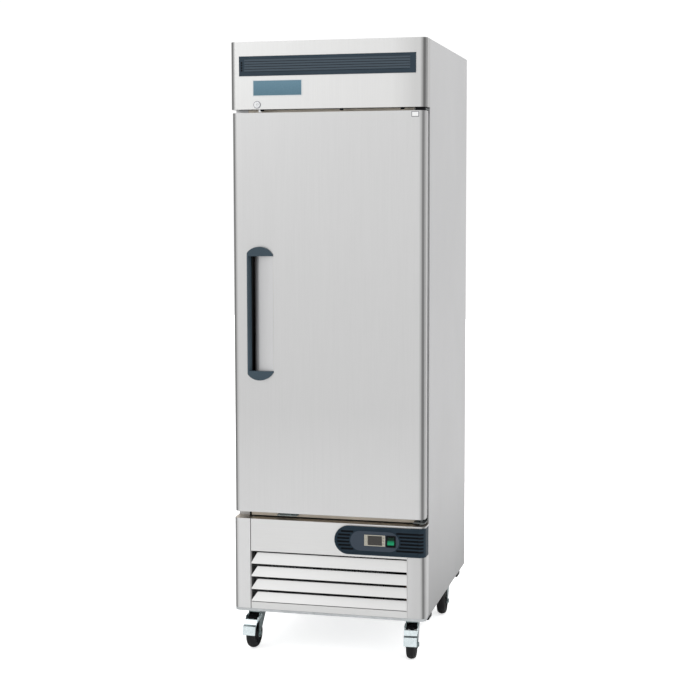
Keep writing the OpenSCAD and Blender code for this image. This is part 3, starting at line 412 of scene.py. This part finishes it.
def badge_mat():
    """Plain blue plate with a pale rim, painted lighter towards the top as a painted sheen; it holds no
    lettering.
    """
    m = Mat("badge_face")
    m.bsdf.inputs["Coat Weight"].default_value = 0.3
    m.bsdf.inputs["Specular IOR Level"].default_value = 0.3
    n = m.noise((420, 420, 420), 2.0, 0.6)
    lo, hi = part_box("badge_plate")
    up = m.spread(m.xyz()["Z"], 0.0, 1.0, lo.z, hi.z)
    # Painted sheen: the blue is painted darker at the foot and lighter at the head.
    blues_with_painted_sheen = [(0.0, (0.070, 0.155, 0.205)), (0.5, (0.085, 0.180, 0.240)), (1.0, (0.105, 0.210, 0.275))]
    base = m.ramp(up, blues_with_painted_sheen)
    base = m.blend(m.spread(n, 0.0, 0.18, 0.4, 0.7), base, (0.22, 0.34, 0.42))
    m.color(rim_mask("badge_plate", 0.0024, (0.62, 0.66, 0.68))(m, base))
    m.rough(m.spread(n, 0.26, 0.4, 0.3, 0.7))
    m.bump(n, 0.06, 0.0001)
    return m.mat


def rocker_mat():
    """Green rocker, faintly lit in its lower half; its upper half is painted dark as painted shade where it
    is pressed in.
    """
    m = Mat("rocker_green", Roughness=0.22)
    m.bsdf.inputs["Specular IOR Level"].default_value = 0.15
    lo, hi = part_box("rocker")
    up = m.spread(m.xyz()["Z"], 0.0, 1.0, lo.z, hi.z)
    grain = m.noise((700, 700, 700), 2.0, 0.5)
    greens = [(0.0, (0.003, 0.06, 0.035)), (0.20, (0.014, 0.31, 0.14)), (0.38, (0.005, 0.21, 0.09))]
    # Painted shade: the rocker's upper half is painted nearly black.
    painted_shade_darks = [(0.56, (0.003, 0.11, 0.05)), (0.64, (0.002, 0.010, 0.007)), (1.0, (0.002, 0.003, 0.003))]
    glow_and_painted_shade = m.ramp(up, greens + painted_shade_darks)
    m.color(m.blend(m.spread(grain, 0.0, 0.2, 0.4, 0.7), glow_and_painted_shade, (0.006, 0.16, 0.07)))
    m.link(glow_and_painted_shade, m.bsdf.inputs["Emission Color"])
    m.bsdf.inputs["Emission Strength"].default_value = 0.05
    m.bump(grain, 0.08, 0.0001)
    return m.mat


def lamp_mat():
    """The lit cover of the inside lamp."""
    m = Mat("lamp_cover", Roughness=0.35)
    n = m.noise((30, 600, 600), 2.0, 0.5)
    col = m.ramp(n, [(0.3, (0.88, 0.88, 0.84)), (0.7, (0.96, 0.96, 0.93))])
    m.color(col)
    m.link(col, m.bsdf.inputs["Emission Color"])
    m.bsdf.inputs["Emission Strength"].default_value = 1.2
    m.bump(n, 0.1, 0.0002)
    return m.mat


WINDOW = window_mat()
BADGE = badge_mat()
ROCKER = rocker_mat()
LAMP = lamp_mat()

# ------------------------------------------------------------------ CAD nodes: material, edge rounding in mm
LOOK = {
    "side_panels": (STEEL_SIDE, 0.8), "front_frame": (STEEL_FRAME, 0), "back_deck_sheet": (GALV, 0),
    "top_panel": (STEEL_SIDE, 0.8), "cabinet_foam": (FOAM, 0), "inner_liner": (LINER, 0),
    "breaker_frame": (BREAKER, 0.5), "top_fascia": (STEEL_FASCIA, 0.5), "vent_grille": (VENT_PLASTIC, 0.5),
    "badge_plate": (BADGE, 0.4), "lock_barrel": (LOCK_RING, 0.5), "hinge_brackets": (HINGE, 0.6),
    "base_frame": (GALV, 0.3), "lower_posts": (STEEL_POST, 0.5), "louver_panel": (STEEL_LOUVER, 0.3),
    "control_housing": (HOUSING, 0.7), "controller": (BEZEL, 0.5), "display_window": (WINDOW, 0.3),
    "switch_frame": (BLACK_GLOSS, 0.6), "compressor": (BLACK_PAINT, 1.5), "condenser_coil": (COIL, 0),
    "fan_shroud": (BLACK_PAINT, 0.6), "refrigerant_tubes": (COPPER, 0), "condensate_pan": (PAN, 0.8),
    "evaporator_cover": (LINER, 0.3), "evaporator_coil": (COIL, 0), "lamp": (LAMP, 1.2),
    "pilasters": (LINER, 0.3), "shelf_clips": (ZINC, 0.8), "caster_plates": (ZINC, 0.5),
    "screws": (ZINC, 0.4),
    "rear_vent_cover": (GALV, 0.3), "door_skin": (STEEL_DOOR, 0.6), "door_liner": (LINER, 1.5),
    "door_foam": (FOAM, 0), "handle_grip": (HANDLE_PLASTIC, 1.4), "handle_cup": (STEEL_SCOOP, 0),
    "door_tag": (TAG, 0.4), "lock_plug": (LOCK, 0.3), "lock_bolt": (LOCK, 0.5),
    "rocker": (ROCKER, 0.7), "key_1": (BEZEL, 0.7), "key_2": (BEZEL, 0.7), "key_3": (BEZEL, 0.7),
    "shelf_1": (CHROME, 0), "shelf_2": (CHROME, 0), "shelf_3": (CHROME, 0),
    "condenser_fan": (COIL, 0.4), "evaporator_fan": (PAN, 0.4), "door_gasket": (GASKET, 0.4),
}
for k in CASTERS:
    LOOK["fork_" + k] = (ZINC, 0.7)
    LOOK["wheel_" + k] = (RUBBER, 0)
for k in BRAKED:
    LOOK["pedal_" + k] = (ZINC_BRIGHT, 0.6)


def finish_mesh(obj, width_mm, segments=3):
    """Rounds the sharp edges and smooths the faces between them."""
    if width_mm:
        bev = obj.modifiers.new("edges", "BEVEL")
        bev.width = width_mm / 1000
        bev.segments = segments
        bev.limit_method = "ANGLE"
        bev.angle_limit = math.radians(32)
        bev.use_clamp_overlap = True
        bev.miter_outer = "MITER_ARC"
    wn = obj.modifiers.new("normals", "WEIGHTED_NORMAL")
    wn.keep_sharp = False
    wn.weight = 80
    for p in obj.data.polygons:
        p.use_smooth = True


def dress(obj, mat, width_mm):
    """Gives a carried-over CAD node its material and its edge rounding."""
    obj.data.materials.clear()
    obj.data.materials.append(mat)
    weld = obj.modifiers.new("weld", "WELD")
    weld.merge_threshold = 1e-6
    finish_mesh(obj, width_mm)


for name, (mat, width) in LOOK.items():
    dress(N[name], mat, width)


# ------------------------------------------------------------------ mesh helpers for the added pieces
def piece(name, bm, body, mat, width_mm=0.0, segments=2):
    """Turns a bmesh into a named piece that rides a body."""
    bmesh.ops.recalc_face_normals(bm, faces=bm.faces)
    me = bpy.data.meshes.new(name)
    bm.to_mesh(me)
    bm.free()
    ob = bpy.data.objects.new(name, me)
    scene.collection.objects.link(ob)
    me.materials.append(mat)
    finish_mesh(ob, width_mm, segments)
    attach(ob, body)
    return ob


def loft(bm, rings, loop=True, caps=False):
    """Skins closed rings of points one after another."""
    rows = [[bm.verts.new(p) for p in ring] for ring in rings]
    n = len(rows[0])
    last = len(rows) if loop else len(rows) - 1
    for i in range(last):
        a, b = rows[i], rows[(i + 1) % len(rows)]
        for j in range(n):
            bm.faces.new((a[j], a[(j + 1) % n], b[(j + 1) % n], b[j]))
    if caps:
        bm.faces.new(list(reversed(rows[0])))
        bm.faces.new(rows[-1])


def slab(bm, x0, x1, y0, y1, z0, z1):
    """A box between three pairs of planes."""
    pts = [(x0, y0), (x1, y0), (x1, y1), (x0, y1)]
    loft(bm, [[Vector((x, y, z)) for x, y in pts] for z in (z0, z1)], loop=False, caps=True)


def turned(bm, c, axis, side, profile, n=64):
    """Turns a closed profile of (along the axis, radius) pairs round an axis."""
    other = axis.cross(side)
    rings = []
    for i in range(n):
        a = 2 * math.pi * i / n
        out = side * math.cos(a) + other * math.sin(a)
        rings.append([c + axis * t + out * r for t, r in profile])
    loft(bm, rings)


def slabs(name, boxes, mat, width_mm, segments=2):
    """A piece on the cabinet, made of one or more slabs."""
    bm = bmesh.new()
    for box in boxes:
        slab(bm, *box)
    piece(name, bm, "cabinet", mat, width_mm, segments)


def mm(points):
    """Pairs given in mm, as metres."""
    return [(a / 1000, b / 1000) for a, b in points]


def both_sides(half):
    """A profile of (offset, radius) pairs with its mirror image in front."""
    return [(-t, r) for t, r in reversed(half) if t > 0] + half


# wheels: grooved tyre and ribbed hub, turned on the wheel joint's own axis
TYRE = both_sides([(0, 50), (2.8, 49.9), (3.4, 48.5), (4.6, 48.5), (5.2, 49.4), (9.4, 47.8), (13.6, 45),
                   (15.2, 42.8), (15.2, 41.2), (16, 40.6), (16, 36.6), (13.5, 35)])
HUB_LINE = both_sides([(13.4, 35), (10.5, 33), (5, 30), (6.5, 15.5), (13, 13.6), (18.4, 12.4), (18.4, 5.2)])
HUB_RIB = [(4.5, 14.5), (12.6, 14.5), (9.8, 32.5), (4.5, 32.5)]
HUB_RIBS = 8
RIB_HALF_WIDTH = 0.0013
UP = Vector((0, 0, 1))


def hub_ribs(bm, c, ax):
    """Short radial ribs on both faces of a hub."""
    for i in range(HUB_RIBS):
        a = 2 * math.pi * (i + 0.5) / HUB_RIBS
        out = UP * math.cos(a) + ax.cross(UP) * math.sin(a)
        wide = ax.cross(out) * RIB_HALF_WIDTH
        for s in (-1, 1):
            foot = [c + ax * s * t + out * r for t, r in mm(HUB_RIB)]
            loft(bm, [[p - wide for p in foot], [p + wide for p in foot]], loop=False, caps=True)


for k in CASTERS:
    j = JOINTS["wheel_spin_" + k]
    c = Vector(j["pos_m"])
    ax = Vector(j["axis"]).normalized()
    bm = bmesh.new()
    turned(bm, c, ax, UP, mm(TYRE), 96)
    tyre = piece("tyre_" + k, bm, "wheel_%s_body" % k, RUBBER)
    bm = bmesh.new()
    turned(bm, c, ax, UP, mm(HUB_LINE), 72)
    hub_ribs(bm, c, ax)
    hub = piece("hub_" + k, bm, "wheel_%s_body" % k, HUB, 0.3)
    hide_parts("wheel_" + k)
    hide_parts("wheel_" + k)

# black dust block between each caster's fork plates, over the wheel: outline in mm ahead and up
BLOCK = [(-21, 103.5), (46, 103.5), (55, 106), (55, 112.5), (30, 124.2), (-21, 124.2)]
BLOCK_HALF_WIDTH = 0.0184
for k in CASTERS:
    spin = JOINTS["wheel_spin_" + k]
    swivel = JOINTS["swivel_" + k]
    ax = Vector(spin["axis"]).normalized()
    c = Vector((swivel["pos_m"][0], swivel["pos_m"][1], 0))
    ahead = Vector((spin["pos_m"][0], spin["pos_m"][1], 0)) - c
    ahead.normalize()
    faces = []
    for t in (-BLOCK_HALF_WIDTH, BLOCK_HALF_WIDTH):
        faces.append([c + ahead * u + ax * t + UP * z for u, z in mm(BLOCK)])
    bm = bmesh.new()
    loft(bm, faces, loop=False, caps=True)
    piece("dust_block_" + k, bm, "fork_%s_body" % k, MOULD, 1.2)

# door gasket: a soft bellows ring with a magnet head, as (inwards, back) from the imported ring's edge
BELLOWS = [(0, 0), (18, 0), (18, 2), (13.6, 3), (12.4, 4.8), (14.8, 6.6), (12.2, 8.4), (14.9, 9.8),
           (15.2, 11.8), (14.9, 14.8), (13.4, 15.7), (3.4, 15.7), (2.0, 14.8), (1.6, 11.8), (2.0, 9.8),
           (5.8, 8.4), (3.2, 6.6), (5.6, 4.8), (4.4, 3), (0, 2)]
g0, g1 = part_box("door_gasket")
rings = []
for sx, sz in ((-1, -1), (1, -1), (1, 1), (-1, 1)):
    corner = []
    for w, d in mm(BELLOWS):
        x = (g1.x - w) if sx > 0 else (g0.x + w)
        z = (g1.z - w) if sz > 0 else (g0.z + w)
        corner.append(Vector((x, g0.y + d, z)))
    rings.append(corner)
bm = bmesh.new()
loft(bm, rings)
seal = piece("gasket_bellows", bm, "door", GASKET, 0.3)
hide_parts("door_gasket")

# small black stops under the fascia, and the black cover over the top hinge plate
FASCIA_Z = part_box("top_fascia")[0].z
STOP_HALF_WIDTH = 0.0055
STOP_XS = (-0.229, 0.0485, 0.257)
slabs("fascia_stops", [(x - STOP_HALF_WIDTH, x + STOP_HALF_WIDTH, depth(5), depth(16),
                        FASCIA_Z - 0.0065, FASCIA_Z + 0.0003) for x in STOP_XS], MOULD, 1.0)
slabs("hinge_cover_top", [(0.302, 0.3325, depth(6), depth(13.9), DOOR_HI.z + 0.0012, FASCIA_Z - 0.001),
                          (0.304, 0.331, depth(13), depth(58), DOOR_HI.z + 0.0071, FASCIA_Z - 0.001)],
      MOULD, 1.2)

# in the gap under the door: stop plate, rest pad, seal on the deck, and a sill strip cut round the stop plate
GAP_BACK = depth(64.3)
SILL_FRONT = depth(44)
SILL_Z = DOOR_LO.z - 0.0204
STOP_X0, STOP_X1 = -0.190, -0.118
SILL_CUT = 0.002
slabs("door_stop_plate", [(STOP_X0, STOP_X1, depth(24), GAP_BACK, DOOR_LO.z - 0.0145, DOOR_LO.z - 0.012),
                          (STOP_X0, STOP_X1, depth(62), GAP_BACK, DOOR_LO.z - 0.0122, DOOR_LO.z - 0.003)],
      ZINC, 0.5)
slabs("door_rest_pad", [(-0.296, -0.289, depth(46), depth(64), DOOR_LO.z - 0.0235, DOOR_LO.z - 0.003)],
      MOULD, 1.2)
slabs("deck_seal", [(-0.288, 0.300, depth(44.5), GAP_BACK, DOOR_LO.z - 0.0238, DOOR_LO.z - 0.0205)],
      MOULD, 0.8)
slabs("sill_strip", [(-0.288, STOP_X0 - SILL_CUT, SILL_FRONT, GAP_BACK, SILL_Z, DOOR_LO.z - 0.0098),
                     (STOP_X1 + SILL_CUT, 0.296, SILL_FRONT, GAP_BACK, SILL_Z, DOOR_LO.z - 0.0098),
                     (STOP_X0 - SILL_CUT, STOP_X1 + SILL_CUT, SILL_FRONT, GAP_BACK, SILL_Z,
                      DOOR_LO.z - 0.0146)],
      SILL, 1.0)

# rubber corner bumpers with a plated clip, under the side panels' lower edges
BASE_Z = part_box("side_panels")[0].z
CLIP_INSET = 0.0008
bumpers = []
clips = []
for s in (-1, 1):
    x0, x1 = sorted((s * (HI.x - 0.012), s * (HI.x - 0.0014)))
    for d0, d1 in ((76, 135), (672, 727)):
        bumpers.append((x0, x1, depth(d0), depth(d1), BASE_Z - 0.016, BASE_Z - 0.0018))
        clips.append((x0 + CLIP_INSET, x1 - CLIP_INSET, depth(d0 + 6), depth(d1 - 6),
                      BASE_Z - 0.0022, BASE_Z - 0.0003))
slabs("corner_bumpers", bumpers, MOULD, 2.2, 3)
slabs("bumper_clips", clips, ZINC_BRIGHT, 0.3)

# status marks beside the display: plain, three clusters of three small six-sided dots
MARK_X = 0.1963
MARK_ZS = (0.409, 0.419, 0.429)
CLUSTER_R = 0.0013
DOT_R = 0.0010
bm = bmesh.new()
for row, z in enumerate(MARK_ZS):
    for k in range(3):
        a = 2 * math.pi * k / 3 + row
        cx = MARK_X + CLUSTER_R * math.cos(a)
        cz = z + CLUSTER_R * math.sin(a)
        corners = [(cx + DOT_R * math.cos(t * math.pi / 3), cz + DOT_R * math.sin(t * math.pi / 3))
                   for t in range(6)]
        loft(bm, [[Vector((px, y, pz)) for px, pz in corners] for y in (depth(-8.75), depth(-8.45))],
             loop=False, caps=True)
piece("display_marks", bm, "cabinet", MARK)

# ------------------------------------------------------------------ camera, light, stage
YAW, PITCH, ROLL = 0.238952, 0.085072, -0.001641
EYE = Vector((1.246391, -5.198201, 1.574803))
ahead = Vector((-math.sin(YAW) * math.cos(PITCH), math.cos(YAW) * math.cos(PITCH), -math.sin(PITCH)))
level = Vector((math.cos(YAW), math.sin(YAW), 0))
upright = level.cross(ahead)
cam_x = level * math.cos(ROLL) + upright * math.sin(ROLL)
cam_y = upright * math.cos(ROLL) - level * math.sin(ROLL)
cam_data = bpy.data.cameras.new("camera")
cam = bpy.data.objects.new("camera", cam_data)
scene.collection.objects.link(cam)
scene.camera = cam
cam.matrix_world = Matrix.Translation(EYE) @ Matrix((cam_x, cam_y, -ahead)).transposed().to_4x4()
cam_data.sensor_width = 36
cam_data.lens = 75.239
cam_data.shift_y = -1 / 28
cam_data.clip_start = 0.05
cam_data.clip_end = 60


def studio_world():
    """Pale surroundings that are lighter above, and plain white where the camera sees them."""
    world = bpy.data.worlds.new("studio")
    scene.world = world
    world.use_nodes = True
    nodes, links = world.node_tree.nodes, world.node_tree.links
    coords = nodes.new("ShaderNodeTexCoord")
    parts = nodes.new("ShaderNodeSeparateXYZ")
    height = nodes.new("ShaderNodeMapRange")
    tones = nodes.new("ShaderNodeValToRGB")
    path = nodes.new("ShaderNodeLightPath")
    mix = nodes.new("ShaderNodeMix")
    mix.data_type = "RGBA"
    links.new(coords.outputs["Generated"], parts.inputs["Vector"])
    height.inputs["From Min"].default_value = -1
    height.inputs["From Max"].default_value = 1
    links.new(parts.outputs["Z"], height.inputs["Value"])
    links.new(height.outputs["Result"], tones.inputs["Fac"])
    for stop, (at, grey) in zip(tones.color_ramp.elements, ((0.42, 0.90), (0.8, 1.0))):
        stop.position = at
        stop.color = (grey, grey, grey, 1)
    links.new(path.outputs["Is Camera Ray"], mix.inputs[0])
    links.new(tones.outputs["Color"], mix.inputs[6])
    mix.inputs[7].default_value = (1.05, 1.05, 1.05, 1)
    links.new(mix.outputs[2], nodes["Background"].inputs["Color"])
    nodes["Background"].inputs["Strength"].default_value = 1.0


studio_world()
scene.view_settings.view_transform = "Standard"
scene.view_settings.look = "None"


def area(name, loc, target, size, power):
    """A rectangular soft light that looks at a target."""
    d = bpy.data.lights.new(name, "AREA")
    d.shape = "RECTANGLE"
    d.size, d.size_y = size
    d.energy = power
    o = bpy.data.objects.new(name, d)
    o.location = loc
    o.rotation_mode = "QUATERNION"
    o.rotation_quaternion = (Vector(target) - Vector(loc)).to_track_quat("-Z", "Y")
    scene.collection.objects.link(o)


area("key_light", (-2.6, -4.2, 3.4), (0, 0, 1.1), (2.2, 2.2), 14)
area("top_light", (0.3, -1.2, 4.2), (0, 0, 1.0), (3.0, 2.0), 14)
area("side_light", (4.0, -0.8, 2.2), (0.3, 0, 1.1), (1.6, 2.6), 8)



def floor_paint():
    """Pale matt floor that fades into the white background where the camera sees it."""
    m = Mat("floor_paint", Roughness=0.8)
    m.bsdf.inputs["Specular IOR Level"].default_value = 0.1
    m.color(m.ramp(m.noise((3, 3, 3)), [(0.3, (0.93, 0.93, 0.93)), (0.7, (0.97, 0.97, 0.97))]))
    m.bsdf.inputs["Emission Color"].default_value = (1, 1, 1, 1)
    seen = m.add("ShaderNodeLightPath").outputs["Is Camera Ray"]
    m.link(m.math("MULTIPLY", seen, 0.62), m.bsdf.inputs["Emission Strength"])
    return m.mat


bm = bmesh.new()
bmesh.ops.create_grid(bm, x_segments=24, y_segments=24, size=14)
me = bpy.data.meshes.new("floor")
bm.to_mesh(me)
bm.free()
floor = bpy.data.objects.new("floor", me)
scene.collection.objects.link(floor)
floor.data.materials.append(floor_paint())
